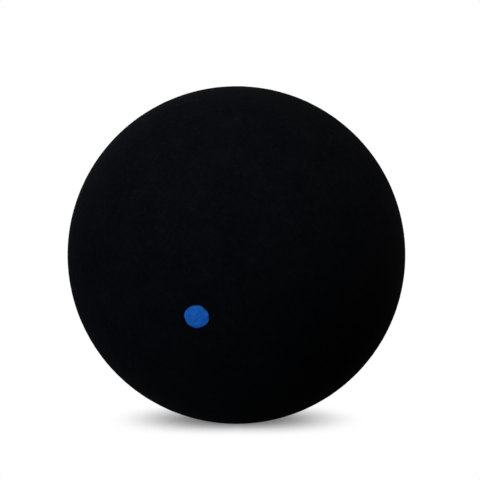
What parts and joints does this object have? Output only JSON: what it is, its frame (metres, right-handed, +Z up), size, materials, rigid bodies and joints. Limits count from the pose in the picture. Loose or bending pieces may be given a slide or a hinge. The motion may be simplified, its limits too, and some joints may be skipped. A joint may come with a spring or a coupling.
{
  "type": "squash ball",
  "caption": "Small hollow matt black rubber ball of two cemented halves, with a blue printed dot, for play against a wall.",
  "frame": {"origin": "the middle of the ball", "axes": "+Z up; the two halves meet in the plane of X and Z, with the front half and its dot towards -Y and the rear half towards +Y"},
  "size_m": [0.04, 0.04, 0.04],
  "materials": {
    "ball_rubber": "matte",
    "rubber_cement": "satin",
    "dot_ink": "matte"
  },
  "bodies": {
    "root": {"front_half_shell": "ball_rubber", "rear_half_shell": "ball_rubber", "seam_cement": "rubber_cement", "speed_dot": "dot_ink"}
  },
  "joints": []
}
